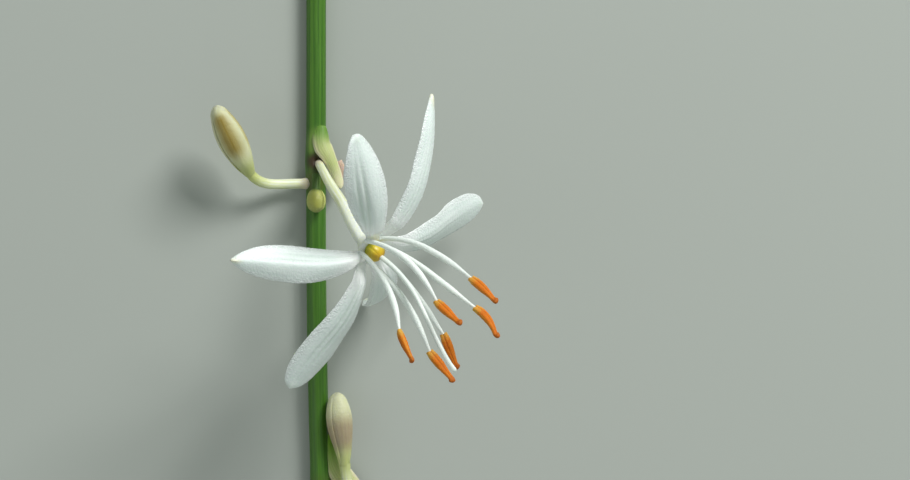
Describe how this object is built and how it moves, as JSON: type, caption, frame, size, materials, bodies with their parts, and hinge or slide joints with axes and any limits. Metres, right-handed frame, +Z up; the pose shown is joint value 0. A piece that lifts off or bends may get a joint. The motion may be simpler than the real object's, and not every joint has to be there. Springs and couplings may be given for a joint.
{
  "type": "spider plant flower",
  "caption": "Open white spider plant blossom with orange anthers and closed buds on a cut length of green flowering stem, lying down.",
  "frame": {"origin": "on the stem's flat underside, below the node that carries the open flower", "axes": "+Y along the stem towards the mother plant, +Z up from the surface it lies on, +X towards the side the open flower leans to"},
  "size_m": [0.0177, 0.0369, 0.0168],
  "materials": {
    "stem": "smooth fresh green stem, faint lengthwise ribs, slightly waxy",
    "bract": "pale green scale leaf with fine lengthwise veins and a thin cream edge",
    "bracteole": "thin dry papery scale, brownish pink",
    "stalk": "smooth cream stalk with a green tint",
    "bud": "closed cream bud with an ochre band down its middle, yellow-green at its root",
    "young_bud": "small olive-yellow bud",
    "tepal": "white and slightly see-through, with a lengthwise fold and tiny sparkling bumps at the edges",
    "filament": "white with fine bumps",
    "anther": "saturated orange, dusty with pollen, with a furrow between its lobes",
    "ovary": "olive-yellow, smooth and moist"
  },
  "bodies": {
    "root": {"stem": "stem", "bract_upper": "bract", "bract_lower": "bract", "bracteole": "bracteole", "flower_stalk": "stalk", "bud_stalk_left": "stalk", "bud_stalk_lower": "stalk", "bud_left": "bud", "bud_lower": "bud", "bud_young": "young_bud", "outer_tepal_1": "tepal", "outer_tepal_2": "tepal", "outer_tepal_3": "tepal", "inner_tepal_1": "tepal", "inner_tepal_2": "tepal", "inner_tepal_3": "tepal", "filament_1": "filament", "filament_2": "filament", "filament_3": "filament", "filament_4": "filament", "filament_5": "filament", "filament_6": "filament", "anther_1": "anther", "anther_2": "anther", "anther_3": "anther", "anther_4": "anther", "anther_5": "anther", "anther_6": "anther", "ovary": "ovary", "style": "filament"}
  },
  "joints": []
}
